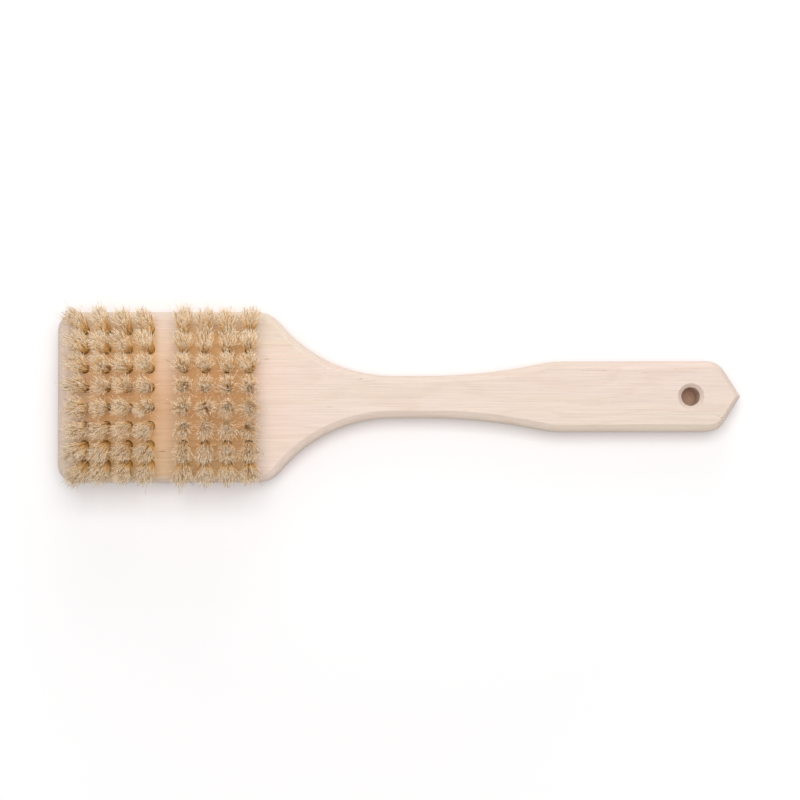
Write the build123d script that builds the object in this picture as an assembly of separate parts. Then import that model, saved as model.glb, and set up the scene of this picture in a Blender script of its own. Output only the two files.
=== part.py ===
from build123d import *

import os
from math import acos, asin, cos, degrees, radians, sin, sqrt, tan

# Long-handled body dry brush: one flat hardwood paddle, drilled with two banks of fanned blind
# holes. A bundle of bristle is folded into each hole and held by a flat wire anchor, whose ends
# bite into the wall of the hole.
#
# Millimetres. +X runs from the toe of the head to the point of the handle, and +Z is the side
# that the bristles stand on. The origin lies under the middle of the brush, on its back face.

# ---- paddle -------------------------------------------------------------------------------
brush_length = 345.0
board_thickness = 18.0
head_width = 86.3
toe_corner_radius = 9.5
head_corner_radius = 15.0  # where each long side of the head turns in towards the neck
neck_width = 21.2
neck_from_toe = 169.0
neck_straight = 17.7  # parallel stretch of the neck, on its handle side
sweep_radius = 74.0  # hollow curve from the head down to the neck
grip_width = 35.6
flare_radius = 276.0  # hollow curve from the neck out to the grip
grip_corner_radius = 50.0  # where the flare levels out into the grip
point_angle = 115.0  # degrees between the two cuts at the end of the handle
point_corner_radius = 10.0  # where each long side of the grip turns in towards the point

# ---- rounded edges of both faces: slight on the head, full on the neck and the grip -------
head_edge_width = 2.5
head_edge_depth = 2.2
grip_edge_width = 3.65
grip_edge_depth = 3.3
point_edge_width = 2.4
edge_fullness = 2.2  # 1 is a plain bevel, and more is rounder
edge_steps = 6  # narrow flats that make up each rounded edge

# ---- hanging hole -------------------------------------------------------------------------
hang_hole_diameter = 9.5
hang_hole_from_point = 25.2
hang_hole_bevel = 1.9

# ---- holes for the tufts ------------------------------------------------------------------
tuft_rows = 8
tufts_per_row = 4  # in each bank
side_margin = 9.3  # from the side of the head to the outermost rows
column_pitch = 11.0
first_column_from_toe = 13.8
bank_gap = 17.0  # between the last column of the toe bank and the first of the neck bank
outer_row_fan = 16.0  # degrees that the outermost rows lean outwards, less towards the middle
toe_bank_lean = 2.5  # degrees that the toe bank leans away from the neck bank
neck_bank_lean = 5.0  # and the neck bank away from the toe bank
hole_diameter = 5.0
hole_depth = 12.0
drill_point_angle = 118.0

# ---- wire anchors -------------------------------------------------------------------------
anchor_bite = 0.3  # how far each end is driven into the wall of the hole
anchor_thickness = 0.4
anchor_height = 1.8
anchor_above_fold = 1.1  # bristle folded under the anchor

# ---- tufts --------------------------------------------------------------------------------
tuft_clearance = 0.15  # between the bundle and the wall of its hole
tuft_free_length = 23.0
tuft_tip_diameter = 8.6
tuft_tip_rounding = 1.6
tuft_crown = 0.8  # how far the middle of the tip stands above its rim
tuft_foot_rounding = 1.9

# ---- worked out from the sizes above ------------------------------------------------------
toe_x = -brush_length / 2
point_x = brush_length / 2
neck_x = toe_x + neck_from_toe
half_point_angle = radians(point_angle / 2)
hole_radius = hole_diameter / 2
tuft_radius = hole_radius - tuft_clearance
bank_lean = max(toe_bank_lean, neck_bank_lean)
steepest_lean = acos(cos(radians(outer_row_fan)) * cos(radians(bank_lean)))
row_pitch = (head_width - 2 * side_margin) / max(tuft_rows - 1, 1)
bank_width = (tufts_per_row - 1) * column_pitch
first_x = toe_x + first_column_from_toe
banks = {
    "toe": {"first_x": first_x, "lean": -toe_bank_lean},
    "neck": {"first_x": first_x + bank_width + bank_gap, "lean": neck_bank_lean},
}


def arc(centre, radius, start, end):
    """Three points of an arc between two directions, given in degrees from +X."""
    return [
        (centre[0] + radius * cos(radians(a)), centre[1] + radius * sin(radians(a)))
        for a in (start, (start + end) / 2, end)
    ]


def upper_half(head_inset, grip_inset, point_inset):
    """The runs of the outline from the toe to the point, each a line of two points or an arc
    of three, drawn in from the full size by an inset for the head, the grip and the point."""
    # Toe corner, and the head's long side.
    half_head = head_width / 2 - head_inset
    toe_radius = toe_corner_radius - head_inset
    toe_centre = (toe_x + toe_corner_radius, half_head - toe_radius)
    toe = arc(toe_centre, toe_radius, 180, 90)

    # The hollow sweep ends level at the neck, and the head's corner meets it smoothly.
    hollow = sweep_radius + grip_inset
    hollow_centre = (neck_x, neck_width / 2 + sweep_radius)
    corner = head_corner_radius - head_inset
    corner_y = half_head - corner
    reach = sqrt((hollow + corner) ** 2 - (hollow_centre[1] - corner_y) ** 2)
    turn = degrees(asin(reach / (hollow + corner)))
    head_corner = arc((neck_x - reach, corner_y), corner, 90, 90 - turn)
    sweep = arc(hollow_centre, hollow, 270 - turn, 270)

    # The flare climbs from the neck's half width to the grip's, and its corner levels it out.
    flare_x = neck_x + neck_straight
    climb = (grip_width - neck_width) / 2
    flare_turn = 2 * asin(sqrt(climb / (2 * (flare_radius + grip_corner_radius))))
    rise = degrees(flare_turn)
    flare_run = (flare_radius + grip_corner_radius) * sin(flare_turn)
    flare = arc((flare_x, neck_width / 2 + flare_radius), flare_radius + grip_inset, 270, 270 + rise)
    grip_centre = (flare_x + flare_run, grip_width / 2 - grip_corner_radius)
    grip_corner = arc(grip_centre, grip_corner_radius - grip_inset, 90 + rise, 90)

    # The grip's long side turns in to a straight cut, which ends at the point.
    half_grip = grip_width / 2 - grip_inset
    point = point_x - point_inset / sin(half_point_angle)
    point_radius = point_corner_radius - point_inset
    square_x = point - half_grip / tan(half_point_angle)
    corner_x = square_x - point_radius * tan(half_point_angle / 2)
    cut_turn = 90 - degrees(half_point_angle)
    point_corner = arc((corner_x, half_grip - point_radius), point_radius, 90, cut_turn)

    return [
        toe,
        [toe[-1], head_corner[0]],
        head_corner,
        sweep,
        [sweep[-1], flare[0]],
        flare,
        grip_corner,
        [grip_corner[-1], point_corner[0]],
        point_corner,
        [point_corner[-1], (point, 0.0)],
    ]


def outline(depth, z):
    """The closed outline at height z, where the rounded edges reach depth below their face."""
    upper = upper_half(
        rounding(head_edge_width, head_edge_depth, depth),
        rounding(grip_edge_width, grip_edge_depth, depth),
        rounding(point_edge_width, grip_edge_depth, depth),
    )
    lower = [[(x, -y) for x, y in reversed(run)] for run in reversed(upper)]
    toe_end = [lower[-1][-1], upper[0][0]]
    edges = []
    for run in [*upper, *lower, toe_end]:
        points = [Vector(x, y, z) for x, y in run]
        edges.append(ThreePointArc(*points) if len(points) == 3 else Line(*points))
    return Wire(edges)


def rounding(width, full_depth, depth):
    """How far a rounded edge draws the outline in at a depth below the face."""
    return width * max(0.0, 1 - depth / full_depth) ** edge_fullness


def paddle():
    """The shaped board, with its hanging hole, before it is drilled for the tufts."""
    deepest = max(head_edge_depth, grip_edge_depth)
    depths = [deepest * step / edge_steps for step in range(edge_steps + 1)]
    back = [outline(depth, depth) for depth in depths]
    front = [outline(depth, board_thickness - depth) for depth in reversed(depths)]
    board = Solid.make_loft([*back, *front], ruled=True)

    hole_x = point_x - hang_hole_from_point
    bore = Cylinder(hang_hole_diameter / 2, board_thickness, align=(Align.CENTER, Align.CENTER, Align.MIN))
    board -= Pos(hole_x, 0, 0) * bore
    rims = [e for e in board.edges() if e.is_closed and abs(e.center().X - hole_x) < hang_hole_diameter]
    return chamfer(rims, hang_hole_bevel)


def tuft_places(bank, row):
    """Where each tuft of a row leaves the face, with local +Z along the tuft."""
    row_y = ((tuft_rows - 1) / 2 - row) * row_pitch
    fan = outer_row_fan * (1 - 2 * row / max(tuft_rows - 1, 1))
    return [
        Location((bank["first_x"] + column * column_pitch, row_y, board_thickness), (-fan, bank["lean"], 0))
        for column in range(tufts_per_row)
    ]


def drill():
    """What the drill takes out of the board: a straight hole with a pointed bottom."""
    above_face = hole_diameter  # clears the face however much the hole leans
    straight = Cylinder(hole_radius, hole_depth + above_face, align=(Align.CENTER, Align.CENTER, Align.MIN))
    point_depth = hole_radius / tan(radians(drill_point_angle / 2))
    point = Cone(0, hole_radius, point_depth, align=(Align.CENTER, Align.CENTER, Align.MAX))
    return Pos(0, 0, -hole_depth) * (straight + point)


def anchor():
    """The flat wire over which the bundle is folded, across the hole near its bottom."""
    length = hole_diameter + 2 * anchor_bite
    strip = Box(length, anchor_thickness, anchor_height, align=(Align.CENTER, Align.CENTER, Align.MIN))
    return Pos(0, 0, anchor_above_fold - hole_depth) * strip


def tuft():
    """One bundle: a folded foot, a straight shank in the hole and a brush that flares out."""
    shank_end = hole_radius * tan(steepest_lean) + tuft_clearance
    foot = (tuft_radius, -hole_depth)
    tip = (tuft_tip_diameter / 2, tuft_free_length)
    crown = (0, tuft_free_length + tuft_crown)
    side = Polyline((0, -hole_depth), foot, (tuft_radius, shank_end), tip)
    section = make_face(side + Line(tip, crown) + Line(crown, (0, -hole_depth)))
    corners = section.vertices()
    section = fillet(corners.sort_by_distance(foot)[0], tuft_foot_rounding)
    section = fillet(section.vertices().sort_by_distance(tip)[0], tuft_tip_rounding)
    bundle = revolve(Plane.XZ * section, Axis.Z)
    return bundle - anchor()


one_tuft = tuft()
one_anchor = anchor()
cutter = drill() + one_anchor

tufts, anchors, cuts = {}, {}, []
for bank_name, bank in banks.items():
    for row in range(tuft_rows):
        places = tuft_places(bank, row)
        tufts[f"{bank_name}_bank_tufts_row_{row + 1}"] = [place * one_tuft for place in places]
        anchors[f"{bank_name}_bank_anchors_row_{row + 1}"] = [place * one_anchor for place in places]
        cuts += [place * cutter for place in places]

nodes = {"brush_body": paddle() - cuts}
for name, pieces in {**tufts, **anchors}.items():
    nodes[name] = Compound([solid for piece in pieces for solid in piece.solids()])

os.makedirs("parts", exist_ok=True)
for name, shape in nodes.items():
    export_step(shape, f"parts/{name}.step")
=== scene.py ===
from math import cos, pi, radians, sin

import bpy
import numpy as np
from bpy.props import FloatProperty, FloatVectorProperty, IntProperty, PointerProperty
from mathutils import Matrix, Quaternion, Vector


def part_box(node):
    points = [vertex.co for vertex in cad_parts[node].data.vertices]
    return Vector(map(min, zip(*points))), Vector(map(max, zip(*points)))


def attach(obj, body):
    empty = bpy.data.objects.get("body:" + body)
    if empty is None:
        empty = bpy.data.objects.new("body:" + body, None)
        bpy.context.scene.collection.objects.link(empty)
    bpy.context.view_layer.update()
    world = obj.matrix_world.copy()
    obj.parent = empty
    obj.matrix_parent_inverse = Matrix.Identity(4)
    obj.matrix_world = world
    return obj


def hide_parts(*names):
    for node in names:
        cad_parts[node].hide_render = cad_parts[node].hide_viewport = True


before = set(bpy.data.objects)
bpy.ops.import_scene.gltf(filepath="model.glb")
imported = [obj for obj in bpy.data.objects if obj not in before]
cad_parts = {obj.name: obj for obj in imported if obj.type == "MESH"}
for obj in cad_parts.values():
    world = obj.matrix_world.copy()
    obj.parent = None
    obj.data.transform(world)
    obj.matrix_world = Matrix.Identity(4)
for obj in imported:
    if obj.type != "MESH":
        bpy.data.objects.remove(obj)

bl_info = {
    "name": "Body Dry Brush",
    "version": (1, 0, 0),
    "blender": (4, 5, 0),
    "location": "View3D > Sidebar > Dry Brush",
    "description": "Finishes a long-handled body dry brush: wood, bristles, wire and stage",
    "category": "Object",
}

BODY = "root"
BODY_NODE = "brush_body"
TUFT_NODES = sorted(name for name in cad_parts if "_tufts_" in name)
ANCHOR_NODES = sorted(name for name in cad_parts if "_anchors_" in name)
MM = 0.001
WHITE = (1.0, 1.0, 1.0)


# ---- settings --------------------------------------------------------------------------------


def colour_property(name, description, default):
    """A linear colour that the user can change."""
    return FloatVectorProperty(
        name=name,
        description=description,
        subtype="COLOR",
        size=3,
        min=0.0,
        max=1.0,
        default=default,
    )


def length_property(name, description, default):
    """A length in metres that the user can change."""
    return FloatProperty(
        name=name, description=description, unit="LENGTH", precision=5, default=default
    )


def power_property(name, description, default):
    """A lamp's power in watts that the user can change."""
    return FloatProperty(name=name, description=description, unit="POWER", default=default)


def angle_property(name, description, default):
    """An angle that the user can change, with its default in degrees."""
    return FloatProperty(
        name=name, description=description, subtype="ANGLE", default=radians(default)
    )


class WoodSettings(bpy.types.PropertyGroup):
    """Colours and grain of the sanded hardwood, and painted shade and bounce among tufts."""

    pink: colour_property("Pink wood", "Colour of the pinker zones", (0.778, 0.632, 0.554))
    yellow: colour_property("Yellow wood", "Colour of the yellower zones", (0.763, 0.642, 0.532))
    ring: colour_property("Ring line", "Tint of the narrow late rings", (0.93, 0.86, 0.80))
    fleck: colour_property("Fleck", "Colour of the short brown flecks", (0.36, 0.19, 0.10))
    # Painted shade with warm painted bounce from the bristles, on the wood among the tufts.
    between: colour_property("Between tufts", "Tint of the wood among them", (0.94, 0.73, 0.40))
    # Greyer painted shade on the wood between the two banks.
    gap: colour_property("Between banks", "Tint of the wood between them", (0.84, 0.83, 0.86))
    ring_spacing: length_property("Ring spacing", "Distance between growth rings", 2.4 * MM)


class BristleSettings(bpy.types.PropertyGroup):
    """Number, size and colours of the bristles."""

    hairs: IntProperty(
        name="Hairs per tuft", description="Bristles in one tuft", default=420, min=1
    )
    thickness: length_property("Bristle thickness", "Diameter of a bristle at its foot", 0.165 * MM)
    depth: length_property("Depth in hole", "How far a bristle goes into its hole", 4.0 * MM)
    foot: colour_property("Foot", "Colour of a bristle close to the wood", (0.94, 0.53, 0.15))
    shank: colour_property("Shank", "Colour of the middle of a bristle", (1.0, 0.69, 0.335))
    # The tip's pale colour is partly the flagged ends' own and partly a painted highlight.
    tip: colour_property("Tip", "Colour of a bristle's flagged tip", (1.0, 0.93, 0.82))
    softness: FloatProperty(
        name="Softness",
        description="How far the shading of a bristle leans towards its tip",
        default=0.8,
        min=0.0,
        max=0.95,
    )
    dark: colour_property("Dark bristle", "Colour of the few dark bristles", (0.30, 0.17, 0.08))


class StageSettings(bpy.types.PropertyGroup):
    """Floor, lights and camera."""

    floor: colour_property("Floor", "Colour of the floor", (0.78, 0.77, 0.77))
    # Painted shade on the floor near the brush, warmed by painted bounce from the wood.
    shade: colour_property("Floor shade", "Colour close under the brush", (0.44, 0.27, 0.185))
    penumbra: colour_property("Floor penumbra", "Colour near the brush", (0.72, 0.67, 0.66))
    floor_glow: FloatProperty(
        name="Floor lift", description="White added to the floor that is seen", default=0.29
    )
    key: power_property("Key light", "Power of the soft box overhead", 9.9)
    key_size: length_property("Key light size", "Side of the square soft box", 0.7)
    low: power_property("Low light", "Power of the soft box at the side", 4.2)
    low_size: length_property("Low light size", "Side of the square soft box", 0.8)
    world: FloatProperty(
        name="World", description="Strength of the even light all round", default=0.32
    )
    elevation: angle_property("Camera elevation", "Angle above the floor", 88.5)
    distance: length_property("Camera distance", "From the camera to the brush", 0.9454)
    roll: angle_property("Camera roll", "Turn about the line of sight", -0.09)
    lens: FloatProperty(name="Lens", description="Focal length in millimetres", default=84.0)


# ---- mesh and node helpers -------------------------------------------------------------------


def new_mesh(name, vertices, polygons, smooth=True):
    """A mesh object from an array of points and a list of arrays of polygons of equal size."""
    mesh = bpy.data.meshes.new(name)
    corners = np.concatenate([p.ravel() for p in polygons]).astype(np.int32)
    sizes = np.concatenate([np.full(len(p), p.shape[1]) for p in polygons])
    starts = np.concatenate([[0], np.cumsum(sizes)[:-1]]).astype(np.int32)
    mesh.vertices.add(len(vertices))
    mesh.vertices.foreach_set("co", np.asarray(vertices, np.float32).ravel())
    mesh.loops.add(len(corners))
    mesh.loops.foreach_set("vertex_index", corners)
    mesh.polygons.add(len(starts))
    mesh.polygons.foreach_set("loop_start", starts)
    mesh.update(calc_edges=True)
    mesh.validate()
    mesh.polygons.foreach_set("use_smooth", np.full(len(starts), smooth))
    obj = bpy.data.objects.new(name, mesh)
    bpy.context.scene.collection.objects.link(obj)
    return obj


def socket(sockets, key):
    """The socket at a number, or with a name or an identifier."""
    if isinstance(key, int):
        return sockets[key]
    return next(one for one in sockets if key in (one.name, one.identifier) and one.enabled)


def add_node(tree, kind, inputs=None, **settings):
    """A shader node with its settings and its unlinked or linked inputs."""
    node = tree.nodes.new(kind)
    for key, value in settings.items():
        setattr(node, key, value)
    for key, value in (inputs or {}).items():
        target = socket(node.inputs, key)
        if isinstance(value, bpy.types.NodeSocket):
            tree.links.new(value, target)
        elif target.type == "RGBA" and len(value) == 3:
            target.default_value = (*value, 1.0)
        else:
            target.default_value = value
    return node


def maths(tree, operation, a, b=0.0, c=0.0):
    """The result of one sum on numbers or sockets."""
    return add_node(tree, "ShaderNodeMath", {0: a, 1: b, 2: c}, operation=operation).outputs[0]


def vector_maths(tree, operation, a, b=(0.0, 0.0, 0.0)):
    """The result of one sum on vectors or sockets, which is a number for a length."""
    outputs = add_node(tree, "ShaderNodeVectorMath", {0: a, 1: b}, operation=operation).outputs
    return outputs["Value" if operation == "LENGTH" else "Vector"]


def rise_between(tree, value, start, full, course="LINEAR"):
    """0 up to where a value starts to rise and 1 from where it is full."""
    inputs = {"Value": value, "From Min": start, "From Max": full}
    return add_node(tree, "ShaderNodeMapRange", inputs, interpolation_type=course).outputs[0]


def mix(tree, factor, a, b, blend="MIX"):
    """Two colours mixed by a factor."""
    inputs = {"Factor": factor, "A_Color": a, "B_Color": b}
    node = add_node(tree, "ShaderNodeMix", inputs, data_type="RGBA", blend_type=blend)
    return socket(node.outputs, "Result_Color")


def ramp(tree, value, stops):
    """A colour ramp with stops of (place, colour)."""
    node = add_node(tree, "ShaderNodeValToRGB", {0: value})
    elements = node.color_ramp.elements
    while len(elements) < len(stops):
        elements.new(0.5)
    for element, (place, colour) in zip(elements, stops):
        element.position = place
        element.color = (*colour, 1.0)
    return node.outputs["Color"]


def grey_ramp(tree, value, stops):
    """A ramp between greys, with stops of (place, grey)."""
    return ramp(tree, value, [(place, (grey,) * 3) for place, grey in stops])


def object_place(tree):
    """Where a point is on its piece, in metres."""
    return add_node(tree, "ShaderNodeTexCoord").outputs["Object"]


def streaks_group():
    """The node group of drawn-out noise, built once: noise from 0 to 1 at the place times the
    grains per metre, so that it is drawn out where they are few."""
    group = bpy.data.node_groups.get("streaks")
    if group:
        return group
    group = bpy.data.node_groups.new("streaks", "ShaderNodeTree")
    sockets = {"Place": "Vector", "Per metre": "Vector", "Detail": "Float", "Roughness": "Float"}
    for name, kind in sockets.items():
        group.interface.new_socket(name=name, in_out="INPUT", socket_type="NodeSocket" + kind)
    group.interface.new_socket(name="Noise", in_out="OUTPUT", socket_type="NodeSocketFloat")
    given = group.nodes.new("NodeGroupInput").outputs
    scaled = vector_maths(group, "MULTIPLY", given["Place"], given["Per metre"])
    inputs = {"Vector": scaled, "Scale": 1.0}
    inputs["Detail"] = given["Detail"]
    inputs["Roughness"] = given["Roughness"]
    noise = add_node(group, "ShaderNodeTexNoise", inputs).outputs[0]
    add_node(group, "NodeGroupOutput", {"Noise": noise})
    return group


def streaks(tree, place, per_metre, detail=2.0, roughness=0.5):
    """Noise from 0 to 1 whose grains number so many per metre along X, Y and Z."""
    inputs = {"Place": place, "Per metre": per_metre, "Detail": detail, "Roughness": roughness}
    return add_node(tree, "ShaderNodeGroup", inputs, node_tree=streaks_group()).outputs["Noise"]


def new_material(name):
    """A material with a Principled shader, its tree and the shader."""
    material = bpy.data.materials.new(name)
    material.use_nodes = True
    tree = material.node_tree
    return material, tree, tree.nodes["Principled BSDF"]


def dress(obj, material):
    """Gives an object one material."""
    obj.data.materials.clear()
    obj.data.materials.append(material)


# ---- wood ------------------------------------------------------------------------------------


# Grains per metre of each pattern in the wood, along X, Y and Z.
DRIFT_GRAINS = (7.0, 24.0, 24.0)
WAVER_GRAINS = (28.0, 160.0, 160.0)
ZONE_GRAINS = (5.0, 26.0, 26.0)
FIBRE_GRAINS = (30.0, 1700.0, 1700.0)
PORE_GRAINS = (260.0, 4200.0, 4200.0)
RAGGED_GRAINS = (420.0, 2600.0, 2600.0)

# The pith line, which runs along X under the board, and how far the rings stray from circles
# round it: slowly along the board, and in a finer waver.
PITH_Y = 9 * MM
PITH_Z = -62 * MM
DRIFT = 20 * MM
WAVER = 2.2 * MM

# Ramps, as (place, strength). The first runs over one growth ring, the others over noise.
LATE_WOOD = ((0.0, 0.15), (0.55, 0.25), (0.86, 1.0), (0.93, 0.75), (1.0, 0.15))
YELLOWNESS = ((0.38, 0.0), (0.62, 1.0))
FIBRE_SHADE = ((0.3, 0.915), (0.7, 1.07))
PORE_STRENGTH = ((0.62, 0.0), (0.75, 0.5))

LINE_STRENGTH = 0.42
PORE_TINT = (0.88, 0.78, 0.70)

# The soft edges of the painted shade and bounce among the tufts, at the ends of the tufts' reach:
# how far outside it the low edge starts, how far inside it that edge is full, and the same for the
# high edge.
BANKS_ALONG = ((10.2 * MM, 11.8 * MM), (0.6 * MM, 6.4 * MM))
BANKS_ACROSS = ((0.1 * MM, 5.9 * MM), (1.1 * MM, 13.9 * MM))
GAP_ALONG = ((2.5 * MM, 2.5 * MM), (2.9 * MM, 2.1 * MM))
# How far the painted shade and bounce fade out between the banks, towards the lit side at +Y: a
# ramp over this width, centred on the board.
FADE_WIDTH = 100 * MM
FADE = ((0.5, 0.3), (0.9, 1.0))

# Brown flecks and long faint lines in the face: centre X and Y, half length and half width, all
# in millimetres, and how dark they are.
FLECKS = (
    (-119.4, -27.3, 2.4, 0.33, 0.95),
    (-66.9, 19.2, 2.2, 0.26, 0.70),
    (-19.4, 9.1, 1.5, 0.30, 0.65),
    (103.0, 13.1, 3.0, 0.22, 0.60),
    (96.0, 13.1, 10.0, 0.16, 0.30),
    (124.5, 12.1, 2.2, 0.20, 0.40),
    (-35.6, -5.1, 2.0, 0.22, 0.30),
    (161.0, -9.9, 1.1, 0.26, 0.60),
    (162.6, -10.7, 0.9, 0.30, 0.80),
    (-42.0, 17.0, 9.0, 0.18, 0.18),
    (-62.0, -20.6, 13.0, 0.25, 0.22),
    (-57.0, -23.5, 9.0, 0.20, 0.16),
    (118.0, -2.5, 20.0, 0.18, 0.20),
    (40.0, 3.5, 26.0, 0.16, 0.14),
    (-66.0, 6.0, 15.0, 0.16, 0.12),
)
FLECK_DEPTH = 1.5 * MM
FLECK_SOFTNESS = 0.7
RAGGEDNESS = 0.5 * MM  # how far the edge of a fleck strays across the grain

# The small relief of the sanded surface.
BUMP_DEPTH = 0.04 * MM
BUMP_STRENGTH = 0.6
FIBRE_HEIGHT = 0.7
LATE_HEIGHT = -0.3


def reach(bank):
    """The lowest and the highest corner of the box round a bank's tufts."""
    boxes = [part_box(node) for node in TUFT_NODES if node.startswith(bank)]
    corners = np.array([[tuple(corner) for corner in box] for box in boxes])
    return Vector(corners[:, 0].min(axis=0)), Vector(corners[:, 1].max(axis=0))


def between_places(tree, value, low, high, margins):
    """1 between two places and 0 outside them, with soft edges. The margins say how far outside
    its place each edge starts and how far inside it is full."""
    (low_outside, low_inside), (high_outside, high_inside) = margins
    rise = rise_between(tree, value, low - low_outside, low + low_inside, "SMOOTHSTEP")
    fall = rise_between(tree, value, high + high_outside, high - high_inside, "SMOOTHSTEP")
    return maths(tree, "MULTIPLY", rise, fall)


def fleck_mask(tree, place, centre, half_size):
    """1 within a drawn-out spot and 0 outside: how far each point lies from the centre, in shares
    of the half sizes along X, Y and Z, falls from 1 to 0 over the softness."""
    moved = vector_maths(tree, "SUBTRACT", place, centre)
    shares = vector_maths(tree, "DIVIDE", moved, half_size)
    away = vector_maths(tree, "LENGTH", shares)
    return rise_between(tree, away, 1.0, 1.0 - FLECK_SOFTNESS)


def ring_lines(tree, place, spacing):
    """The strength of the growth rings' lines. The distance from the pith line, with the drift
    and the waver added, is divided by the spacing, and what is left over is the place in a
    ring."""
    drift = streaks(tree, place, DRIFT_GRAINS)
    waver = streaks(tree, place, WAVER_GRAINS)
    offset = maths(tree, "MULTIPLY_ADD", drift, DRIFT, -DRIFT / 2)
    offset = maths(tree, "MULTIPLY_ADD", waver, WAVER, offset)
    parts = add_node(tree, "ShaderNodeSeparateXYZ", {0: place}).outputs
    across = maths(tree, "SUBTRACT", parts["Y"], PITH_Y)
    down = maths(tree, "SUBTRACT", parts["Z"], PITH_Z)
    squares = maths(tree, "MULTIPLY_ADD", across, across, maths(tree, "MULTIPLY", down, down))
    radius = maths(tree, "ADD", maths(tree, "SQRT", squares), offset)
    ring = maths(tree, "FRACT", maths(tree, "DIVIDE", radius, spacing))
    return grey_ramp(tree, ring, LATE_WOOD)


def painted_bounce_and_shade(tree, place, colour, look):
    """The colour with painted shade and painted warm bounce among the tufts. Between the banks a
    greyer painted shade lies over it, and both fade out towards the lit long side at +Y."""
    toe_low, toe_high = reach("toe_bank")
    neck_low, neck_high = reach("neck_bank")
    parts = add_node(tree, "ShaderNodeSeparateXYZ", {0: place}).outputs
    along = between_places(tree, parts["X"], toe_low.x, neck_high.x, BANKS_ALONG)
    across = between_places(tree, parts["Y"], toe_low.y, toe_high.y, BANKS_ACROSS)
    gap = between_places(tree, parts["X"], toe_high.x, neck_low.x, GAP_ALONG)
    side = maths(tree, "MULTIPLY_ADD", parts["Y"], 1 / FADE_WIDTH, 0.5)
    faded = maths(tree, "MULTIPLY", gap, grey_ramp(tree, side, FADE))
    shade_and_bounce_mask = maths(tree, "MULTIPLY", along, across)
    shade_and_bounce_mask = maths(tree, "MULTIPLY", shade_and_bounce_mask, maths(tree, "SUBTRACT", 1.0, faded))
    # Painted shade and warm painted bounce on the wood among the tufts.
    colour = mix(tree, shade_and_bounce_mask, colour, look.between, "MULTIPLY")
    # Greyer painted shade between the banks.
    return mix(tree, maths(tree, "SUBTRACT", gap, faded), colour, look.gap, "MULTIPLY")


def add_flecks(tree, place, colour, look, face_z):
    """The colour with each fleck laid over it. Their edges are made ragged across the grain."""
    ragged = streaks(tree, place, RAGGED_GRAINS, detail=1.0)
    ragged = maths(tree, "MULTIPLY_ADD", ragged, RAGGEDNESS, -RAGGEDNESS / 2)
    ragged = add_node(tree, "ShaderNodeCombineXYZ", {"Y": ragged}).outputs[0]
    place = vector_maths(tree, "ADD", place, ragged)
    for x, y, half_length, half_width, darkness in FLECKS:
        centre = (x * MM, y * MM, face_z)
        mask = fleck_mask(tree, place, centre, (half_length * MM, half_width * MM, FLECK_DEPTH))
        colour = mix(tree, maths(tree, "MULTIPLY", mask, darkness), colour, look.fleck)
    return colour


def wood_material(look, face_z):
    """Pink and yellow zones, growth rings, fibres and pores, which are noise drawn out along X,
    flecks in the upper face, and painted shade and bounce among the tufts. The rings and fibres
    also raise the surface a little."""
    material, tree, shader = new_material("sanded_hardwood")
    place = object_place(tree)
    late = ring_lines(tree, place, look.ring_spacing)
    zone = streaks(tree, place, ZONE_GRAINS, detail=1.0)
    fibre = streaks(tree, place, FIBRE_GRAINS, detail=3.0, roughness=0.65)
    pore = streaks(tree, place, PORE_GRAINS, detail=1.0)

    colour = mix(tree, grey_ramp(tree, zone, YELLOWNESS), look.pink, look.yellow)
    lines = maths(tree, "MULTIPLY", late, LINE_STRENGTH)
    colour = mix(tree, lines, colour, look.ring, "MULTIPLY")
    # Painted shade and bounce among the tufts.
    colour = painted_bounce_and_shade(tree, place, colour, look)
    colour = mix(tree, 1.0, colour, grey_ramp(tree, fibre, FIBRE_SHADE), "MULTIPLY")
    pores = grey_ramp(tree, pore, PORE_STRENGTH)
    colour = mix(tree, pores, colour, PORE_TINT, "MULTIPLY")
    colour = add_flecks(tree, place, colour, look, face_z)

    tree.links.new(colour, shader.inputs["Base Color"])
    shader.inputs["Roughness"].default_value = 0.55
    shader.inputs["Specular IOR Level"].default_value = 0.35
    late = maths(tree, "MULTIPLY", late, LATE_HEIGHT)
    height = maths(tree, "MULTIPLY_ADD", fibre, FIBRE_HEIGHT, late)
    relief = {"Height": height, "Distance": BUMP_DEPTH, "Strength": BUMP_STRENGTH}
    bump = add_node(tree, "ShaderNodeBump", relief).outputs[0]
    tree.links.new(bump, shader.inputs["Normal"])
    return material


class DRYBRUSH_OT_paddle(bpy.types.Operator):
    """Gives the one-piece paddle its sanded hardwood."""

    bl_idname = "drybrush.paddle"
    bl_label = "Wooden paddle"

    def execute(self, context):
        face_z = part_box(BODY_NODE)[1].z
        material = wood_material(context.scene.drybrush_wood, face_z)
        dress(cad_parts[BODY_NODE], material)
        return {"FINISHED"}


# ---- bristle tufts ---------------------------------------------------------------------------


UV_MAP = "OFBake"  # the bristles' UV map, which their material reads; the export keeps a map of this name and bakes through it
COLUMNS = 64  # upright strips of the UV map, each with its own tint
SIDES = 3  # sides of a bristle
END_PLACES = np.array((0.2, 0.5, 0.8))  # where an end face's corners are across their strip

# The rings of a bristle, as shares of its length from foot to tip, and its radius there as
# shares of the radius at its foot.
STEPS = np.array((0.0, 0.25, 0.5, 0.7, 0.84, 0.93, 1.0))
TAPER = np.array((1.0, 1.0, 0.95, 0.9, 0.85, 0.9, 1.1))

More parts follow.
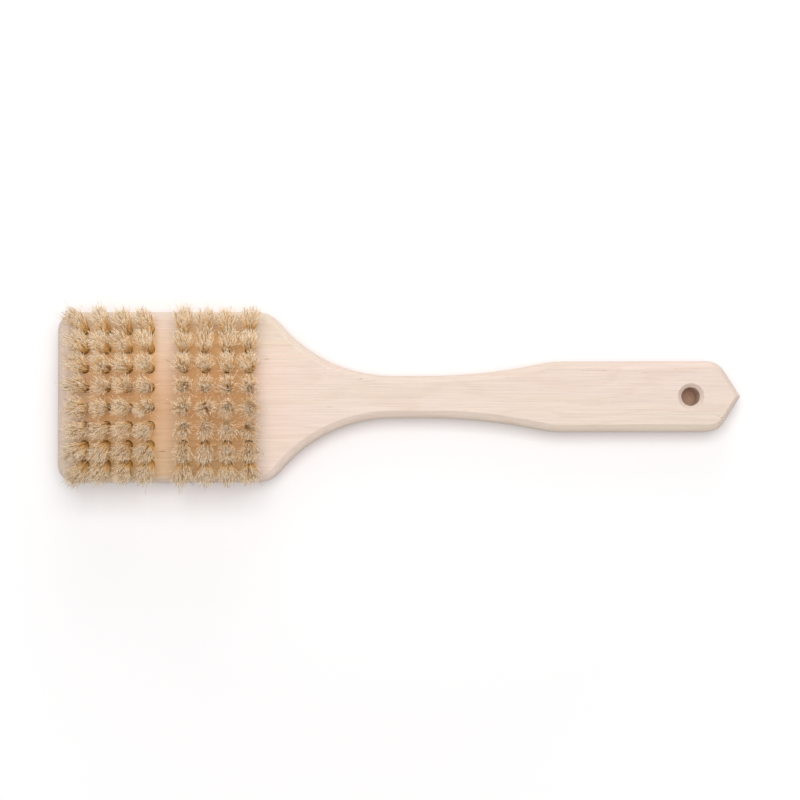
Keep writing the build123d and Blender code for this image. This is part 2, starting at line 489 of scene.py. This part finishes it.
# How bristles scatter. The lengths are at a bristle's tip where nothing else is said. Bend, curl,
# wave and the flare's scatter are standard deviations.
SHORTFALL = 0.2  # the most that a bristle is short of its tuft, as a share of its length
SHORT_POWER = 1.4  # over 1, more of the bristles are nearly whole
CROWN = 0.6 * MM  # how much lower the outermost bristles of a tuft end
LOOSE_SHARE = 0.2  # share of the bristles that are loose
LOOSE_BEND = 2.6  # how many times more they bend
BUNDLE = 0.87  # radius of the bundle in the hole, as a share of the hole's
FLARE = 1.12  # radius of the tuft's tip, as a share of its solid's
FLARE_SCATTER = 0.2
TOE_REACH = 20 * MM  # tufts nearer than this to the toe's end splay past it
SPLAY = 3.2 * MM
LOBE = 1.0 * MM  # the most that each half of a tuft leans away from the other
SWAY = 0.8 * MM  # the most that a whole tuft leans, in each direction across its axis
BEND = 0.65 * MM
CURL = 0.6 * MM
CURL_POWER = 8  # so high that only the tip curls
WAVE = 0.3 * MM  # at the middle of a bristle
SNUG = 0.2 * MM  # how far a tuft is pushed to the side of its hole that it leans to

# Where along a bristle its colours are, from 0 in its hole to 1 at its tip.
FOOT_AT = 0.17
SHANK_AT = 0.4
FADING_AT = 0.8
TIP_AT = 0.95
FADING_SHANK = 0.6  # how much of the shank's colour is left there
HOLE_SHADE = 0.35  # painted shade: how light a bristle is in its hole, as a share of its foot's colour
DARK_SHARE = 0.04  # strips of the UV map whose draw is under this are dark bristles
# The tints that a strip's draw from 0 to 1 gives.
TINTS = (
    (0.0, (0.50, 0.35, 0.21)),
    (0.28, (0.90, 0.79, 0.64)),
    (0.5, (1.0, 0.96, 0.90)),
    (1.0, WHITE),
)


def islands(mesh):
    """The corners of each loose piece of a mesh. Corners at one place, to the tenth of a micron,
    are made one, and then every corner takes the lowest label among its neighbours until no
    label changes."""
    points = np.empty(3 * len(mesh.vertices), np.float32)
    mesh.vertices.foreach_get("co", points)
    ends = np.empty(2 * len(mesh.edges), np.int32)
    mesh.edges.foreach_get("vertices", ends)
    unique, same = np.unique(np.round(points.reshape(-1, 3), 7), axis=0, return_inverse=True)
    a, b = same.ravel()[ends.reshape(-1, 2)].T
    label = np.arange(len(unique))
    while True:
        lower = label.copy()
        np.minimum.at(lower, a, label[b])
        np.minimum.at(lower, b, label[a])
        lower = lower[lower]
        if np.array_equal(lower, label):
            break
        label = lower
    return [unique[label == one] for one in np.unique(label)]


def tuft_lines(node, face_z):
    """For each tuft of a CAD node: where its axis crosses the face of the wood, the axis, the
    radius in the hole, the radius at the tip and the length above the wood. The axis is the
    direction in which the tuft's corners are spread the furthest."""
    lines = []
    for points in islands(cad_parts[node].data):
        centre = points.mean(axis=0)
        axis = np.linalg.svd(points - centre, full_matrices=False)[2][0]
        axis = axis * np.sign(axis[2])
        mouth = centre + axis * (face_z - centre[2]) / axis[2]
        along = (points - mouth) @ axis
        away = np.linalg.norm(points - mouth - np.outer(along, axis), axis=1)
        lines.append((mouth, axis, away[along < 0].max(), away.max(), along.max()))
    return sorted(lines, key=lambda line: line[0][0])


def strand_points(lines, look, rng):
    """The middle line of every bristle as an array of strand, step and XYZ, and the tuft's two
    directions across its axis. At a height h over the wood, as a share of the tuft's length, a
    bristle stands off the tuft's axis by the sum of: its own share of a radius that is nearly
    the hole's at the wood and grows with h, its half bundle's parting times h, a bend and its
    tuft's sway times h squared, a curl times h to the eighth, and half a sine wave. The tufts at
    the toe also spread out past the toe, by a splay times h squared."""
    hairs = look.hairs
    columns = (np.array(column) for column in zip(*lines))
    mouth, axis, foot_radius, tip_radius, length = (np.repeat(c, hairs, axis=0) for c in columns)
    foot_radius, tip_radius, length = (c[:, None] for c in (foot_radius, tip_radius, length))
    side = np.cross(axis, (0.0, 1.0, 0.0))
    side /= np.linalg.norm(side, axis=1)[:, None]
    across = np.cross(axis, side)

    def per_tuft(low, high):
        """A chance value for each tuft, given to all its bristles."""
        return np.repeat(rng.uniform(low, high, (len(lines), 1)), hairs, axis=0)

    count = len(mouth)
    share = np.sqrt(rng.random((count, 1)))
    turn = 2 * pi * rng.random((count, 1))
    shortfall = SHORTFALL * rng.random((count, 1)) ** SHORT_POWER
    reach = length * (1.0 - shortfall) - CROWN * share**2
    height = -look.depth + (reach + look.depth) * STEPS
    rise = np.clip(height / length, 0.0, None)
    loose = np.where(rng.random((count, 1)) < LOOSE_SHARE, LOOSE_BEND, 1.0)

    flare = FLARE + FLARE_SCATTER * rng.normal(0.0, 1.0, (count, 1))
    bundle = BUNDLE * foot_radius
    radius = share * (bundle + (flare * tip_radius - bundle) * rise)
    at_toe = mouth[:, :1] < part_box(BODY_NODE)[0].x + TOE_REACH
    splay = np.where(at_toe, rng.uniform(-SPLAY, 0.0, (count, 1)), 0.0)
    parting = per_tuft(0, pi)
    lobe = np.sign(np.cos(turn - parting)) * per_tuft(0.0, LOBE)
    sway = [per_tuft(-SWAY, SWAY) for _ in range(2)]
    bend = loose * rng.normal(0.0, BEND, (2, count, 1))
    curl = rng.normal(0.0, CURL, (2, count, 1)) * rise**CURL_POWER
    wave = rng.normal(0.0, WAVE, (2, count, 1)) * np.sin(pi * np.clip(rise, 0, 1))

    snug = SNUG * axis * (1.0, 1.0, 0.0) / np.linalg.norm(axis[:, :2], axis=1)[:, None]
    line = (
        (mouth + snug)[:, None]
        + height[..., None] * axis[:, None]
        + (splay * rise**2)[..., None] * (1.0, 0.0, 0.0)
    )
    for n, direction, part in ((0, side, np.cos), (1, across, np.sin)):
        off = radius * part(turn) + lobe * part(parting) * rise
        off = off + (bend[n] + sway[n]) * rise**2 + wave[n] + curl[n]
        line = line + off[..., None] * direction[:, None]
    return line, side, across


def strip_places(column, rings):
    """The UV place of every corner of the bristles' faces, in the order of the faces. A bristle
    stands upright in its column, with its foot at 0 and its tip at 1, and its sides stand side
    by side in it. The two end faces lie flat on the column's ends."""
    count = len(column)
    left = (column + np.arange(SIDES) / SIDES) / COLUMNS
    right = left + 1 / SIDES / COLUMNS
    up = np.linspace(0.0, 1.0, rings)[:, None]
    walls = np.empty((count, rings - 1, SIDES, 4, 2))
    walls[..., 0, 0] = walls[..., 3, 0] = left[:, None]
    walls[..., 1, 0] = walls[..., 2, 0] = right[:, None]
    walls[..., :2, 1] = up[:-1, None]
    walls[..., 2:, 1] = up[1:, None]
    ends = np.empty((2, count, SIDES, 2))
    ends[..., 0] = (column + END_PLACES) / COLUMNS
    ends[0, ..., 1] = 1.0
    ends[1, ..., 1] = 0.0
    return np.concatenate([walls.reshape(-1, 2), ends.reshape(-1, 2)])


def strand_mesh(name, line, side, across, look, rng):
    """Bristles as closed three-sided prisms: a triangle is carried along each middle line with a
    radius that falls off and then swells to the split end. The shading normals lean from the
    prism's sides towards its tip by the softness, so a tuft is lit as a soft whole."""
    count, rings = line.shape[:2]
    turn = 2 * pi * (rng.random((count, 1)) + np.arange(SIDES) / SIDES)
    ring = np.cos(turn)[..., None] * side[:, None] + np.sin(turn)[..., None] * across[:, None]
    taper = TAPER[None, :, None, None]
    vertices = line[:, :, None] + 0.5 * look.thickness * taper * ring[:, None]

    size = SIDES * rings
    first = (np.arange(count) * size)[:, None]
    corner = np.arange(SIDES)
    after = (corner + 1) % SIDES
    low = SIDES * np.arange(rings - 1)[:, None]
    high = low + SIDES
    quads = np.stack([low + corner, low + after, high + after, high + corner], axis=-1)
    quads = (first[..., None] + quads.reshape(-1, 4)[None]).reshape(-1, 4)
    tips = first + size - SIDES + corner
    feet = first + corner[::-1]
    obj = new_mesh(name, vertices.reshape(-1, 3), [quads, tips, feet])

    uv = strip_places(rng.integers(0, COLUMNS, count)[:, None], rings)
    layer = obj.data.uv_layers.new(name=UV_MAP)
    layer.data.foreach_set("uv", uv.astype(np.float32).ravel())

    up = line[:, -1] - line[:, -2]
    up /= np.linalg.norm(up, axis=1)[:, None]
    soft = look.softness * up[:, None, None] + (1 - look.softness) * ring[:, None]
    soft = np.repeat(soft, rings, axis=1)
    soft /= np.linalg.norm(soft, axis=-1, keepdims=True)
    obj.data.normals_split_custom_set_from_vertices(soft.reshape(-1, 3))
    return obj


def bristle_material(look):
    """Each bristle runs from a brown foot, with painted shade in its hole, to a pale tip that
    is partly a painted highlight. Its strip of the UV map gives it its own tint, and a few
    bristles are dark."""
    material, tree, shader = new_material("natural_bristle")
    uv = add_node(tree, "ShaderNodeUVMap", uv_map=UV_MAP).outputs[0]
    parts = add_node(tree, "ShaderNodeSeparateXYZ", {0: uv}).outputs
    column = maths(tree, "FLOOR", maths(tree, "MULTIPLY", parts["X"], COLUMNS))
    draw = add_node(tree, "ShaderNodeTexWhiteNoise", {"W": column}, noise_dimensions="1D")
    chance = draw.outputs["Value"]
    fading = zip(look.shank, look.tip)
    along = (
        # Painted shade down in the hole.
        (0.0, [HOLE_SHADE * c for c in look.foot]),
        (FOOT_AT, look.foot),
        (SHANK_AT, look.shank),
        (FADING_AT, [FADING_SHANK * a + (1 - FADING_SHANK) * b for a, b in fading]),
        # The pale tip, partly a painted highlight.
        (TIP_AT, look.tip),
    )
    colour = mix(tree, 1.0, ramp(tree, parts["Y"], along), ramp(tree, chance, TINTS), "MULTIPLY")
    colour = mix(tree, maths(tree, "LESS_THAN", chance, DARK_SHARE), colour, look.dark)
    tree.links.new(colour, shader.inputs["Base Color"])
    shader.inputs["Roughness"].default_value = 0.6
    shader.inputs["Specular IOR Level"].default_value = 0.0
    return material


class DRYBRUSH_OT_tufts(bpy.types.Operator):
    """Grows each row of bristle tufts over the row's CAD solids."""

    bl_idname = "drybrush.tufts"
    bl_label = "Bristle tufts"

    def execute(self, context):
        look = context.scene.drybrush_bristle
        material = bristle_material(look)
        face_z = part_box(BODY_NODE)[1].z
        for seed, node in enumerate(TUFT_NODES):
            rng = np.random.default_rng(seed)
            line, side, across = strand_points(tuft_lines(node, face_z), look, rng)
            piece = strand_mesh(node.replace("tufts", "bristles"), line, side, across, look, rng)
            dress(piece, material)
            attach(piece, BODY)
            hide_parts(node)
        return {"FINISHED"}


# ---- wire anchors ----------------------------------------------------------------------------


WIRE_GRAINS = (300.0, 6000.0, 6000.0)
WIRE_GREYS = ((0.3, (0.42, 0.41, 0.4)), (0.7, (0.66, 0.65, 0.63)))


def wire_material():
    """Grey steel with the fine lines of drawing along X."""
    material, tree, shader = new_material("drawn_wire")
    drawn = streaks(tree, object_place(tree), WIRE_GRAINS)
    tree.links.new(ramp(tree, drawn, WIRE_GREYS), shader.inputs["Base Color"])
    shader.inputs["Metallic"].default_value = 1.0
    shader.inputs["Roughness"].default_value = 0.35
    return material


class DRYBRUSH_OT_anchors(bpy.types.Operator):
    """Gives the wire anchors their drawn steel."""

    bl_idname = "drybrush.anchors"
    bl_label = "Wire anchors"

    def execute(self, context):
        material = wire_material()
        for node in ANCHOR_NODES:
            dress(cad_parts[node], material)
        return {"FINISHED"}


# ---- stage -----------------------------------------------------------------------------------


FLOOR_HALF = 4.0  # half the side of the square floor
SHADE_REACH = 0.045  # the floor takes painted shade from what stands nearer than this
# Ramps over how open the floor is, from 0 under the brush to 1 away from it.
LIFT = ((0.1, 0.1), (0.4, 1.0))
SHADE_AT = 0.1
PENUMBRA_AT = 0.45
FLOOR_AT = 0.85
FAR = (0.17, 1.6)  # distances from the origin between which the floor turns plain white

KEY_PLACE = (0.03, 0.16, 1.13)
LOW_PLACE = (0.1, 1.25, 0.45)
AIM = Vector((0.0004, -0.0015, 0.014))  # the point at the middle of the view
SENSOR = 36.0  # width of the sensor in millimetres


def background_rays(tree):
    """1 for the rays that show the background, which are the camera's own, those of a mirror and
    those through glass, and 0 for the rays that only light something."""
    rays = add_node(tree, "ShaderNodeLightPath").outputs
    bent = maths(tree, "MAXIMUM", rays["Is Glossy Ray"], rays["Is Transmission Ray"])
    return maths(tree, "MAXIMUM", rays["Is Camera Ray"], bent)


def floor_material(look):
    """A plain white floor. What is seen of it is lifted to white, and far off more so, except
    close under the brush, which takes painted shade, warmed by painted bounce from the wood."""
    material, tree, shader = new_material("white_floor")
    inputs = {"Distance": SHADE_REACH}
    openness = add_node(tree, "ShaderNodeAmbientOcclusion", inputs, samples=8).outputs["AO"]
    far = rise_between(tree, vector_maths(tree, "LENGTH", object_place(tree)), *FAR)
    lift = maths(tree, "MULTIPLY_ADD", grey_ramp(tree, openness, LIFT), look.floor_glow, far)
    lift = maths(tree, "MULTIPLY", lift, background_rays(tree))
    # Painted shade: the floor darkens and warms where the brush stands near.
    stops = (SHADE_AT, look.shade), (PENUMBRA_AT, look.penumbra), (FLOOR_AT, look.floor)
    colour = ramp(tree, openness, stops)
    tree.links.new(colour, shader.inputs["Base Color"])
    tree.links.new(colour, shader.inputs["Emission Color"])
    tree.links.new(lift, shader.inputs["Emission Strength"])
    shader.inputs["Roughness"].default_value = 1.0
    shader.inputs["Specular IOR Level"].default_value = 0.0
    return material


def add_floor(look):
    """A flat square under the brush."""
    corners = FLOOR_HALF * np.array([(-1, -1, 0), (1, -1, 0), (1, 1, 0), (-1, 1, 0)])
    floor = new_mesh("floor", corners, [np.array([[0, 1, 2, 3]])], smooth=False)
    dress(floor, floor_material(look))


def add_soft_box(name, power, size, place):
    """A square soft light at a place, turned to the brush."""
    light = bpy.data.lights.new(name, "AREA")
    light.energy = power
    light.size = size
    obj = bpy.data.objects.new(name, light)
    obj.location = place
    obj.rotation_euler = (-Vector(place)).to_track_quat("-Z", "Y").to_euler()
    bpy.context.scene.collection.objects.link(obj)


def studio_world(look):
    """An even white light all round, which is plain white where it is seen."""
    world = bpy.data.worlds.new("studio")
    world.use_nodes = True
    tree = world.node_tree
    back = tree.nodes["Background"].inputs
    back["Color"].default_value = (*WHITE, 1.0)
    seen = background_rays(tree)
    strength = maths(tree, "MULTIPLY_ADD", seen, 1.0 - look.world, look.world)
    tree.links.new(strength, back["Strength"])
    return world


def aimed_camera(look):
    """A camera at its distance from the aim, raised by its elevation on the side at -Y, turned to
    the aim and then rolled about its line of sight."""
    data = bpy.data.cameras.new("camera")
    data.lens = look.lens
    data.sensor_width = SENSOR
    camera = bpy.data.objects.new("camera", data)
    away = Vector((0.0, -cos(look.elevation), sin(look.elevation)))
    camera.location = AIM + look.distance * away
    facing = (-away).to_track_quat("-Z", "Y")
    camera.rotation_euler = (Quaternion(away, look.roll) @ facing).to_euler()
    bpy.context.scene.collection.objects.link(camera)
    return camera


class DRYBRUSH_OT_stage(bpy.types.Operator):
    """Lays the white floor and sets the lights and the camera."""

    bl_idname = "drybrush.stage"
    bl_label = "Stage"

    def execute(self, context):
        scene = context.scene
        look = scene.drybrush_stage
        add_floor(look)
        add_soft_box("key", look.key, look.key_size, KEY_PLACE)
        add_soft_box("low", look.low, look.low_size, LOW_PLACE)
        scene.world = studio_world(look)
        scene.camera = aimed_camera(look)
        scene.view_settings.view_transform = "Standard"
        return {"FINISHED"}


# ---- add-on ----------------------------------------------------------------------------------


class DRYBRUSH_PT_panel(bpy.types.Panel):
    """Lists the steps and the settings of the dry brush."""

    bl_idname = "DRYBRUSH_PT_panel"
    bl_label = "Dry Brush"
    bl_space_type = "VIEW_3D"
    bl_region_type = "UI"
    bl_category = "Dry Brush"

    def draw(self, context):
        for operator in OPERATORS:
            self.layout.operator(operator.bl_idname)
        for name, group in SETTINGS.items():
            box = self.layout.box()
            for key in group.__annotations__:
                box.prop(getattr(context.scene, name), key)


SETTINGS = {
    "drybrush_wood": WoodSettings,
    "drybrush_bristle": BristleSettings,
    "drybrush_stage": StageSettings,
}
OPERATORS = (DRYBRUSH_OT_paddle, DRYBRUSH_OT_tufts, DRYBRUSH_OT_anchors, DRYBRUSH_OT_stage)
CLASSES = (*SETTINGS.values(), *OPERATORS, DRYBRUSH_PT_panel)


def register():
    """Registers the classes and gives the scene its settings."""
    for cls in CLASSES:
        bpy.utils.register_class(cls)
    for name, group in SETTINGS.items():
        setattr(bpy.types.Scene, name, PointerProperty(type=group))


def unregister():
    """Takes back what register did, in the opposite order."""
    for name in SETTINGS:
        delattr(bpy.types.Scene, name)
    for cls in reversed(CLASSES):
        bpy.utils.unregister_class(cls)


def main():
    """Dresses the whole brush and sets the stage."""
    register()
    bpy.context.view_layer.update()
    bpy.ops.drybrush.paddle()
    bpy.ops.drybrush.tufts()
    bpy.ops.drybrush.anchors()
    bpy.ops.drybrush.stage()


if __name__ == "__main__":
    main()
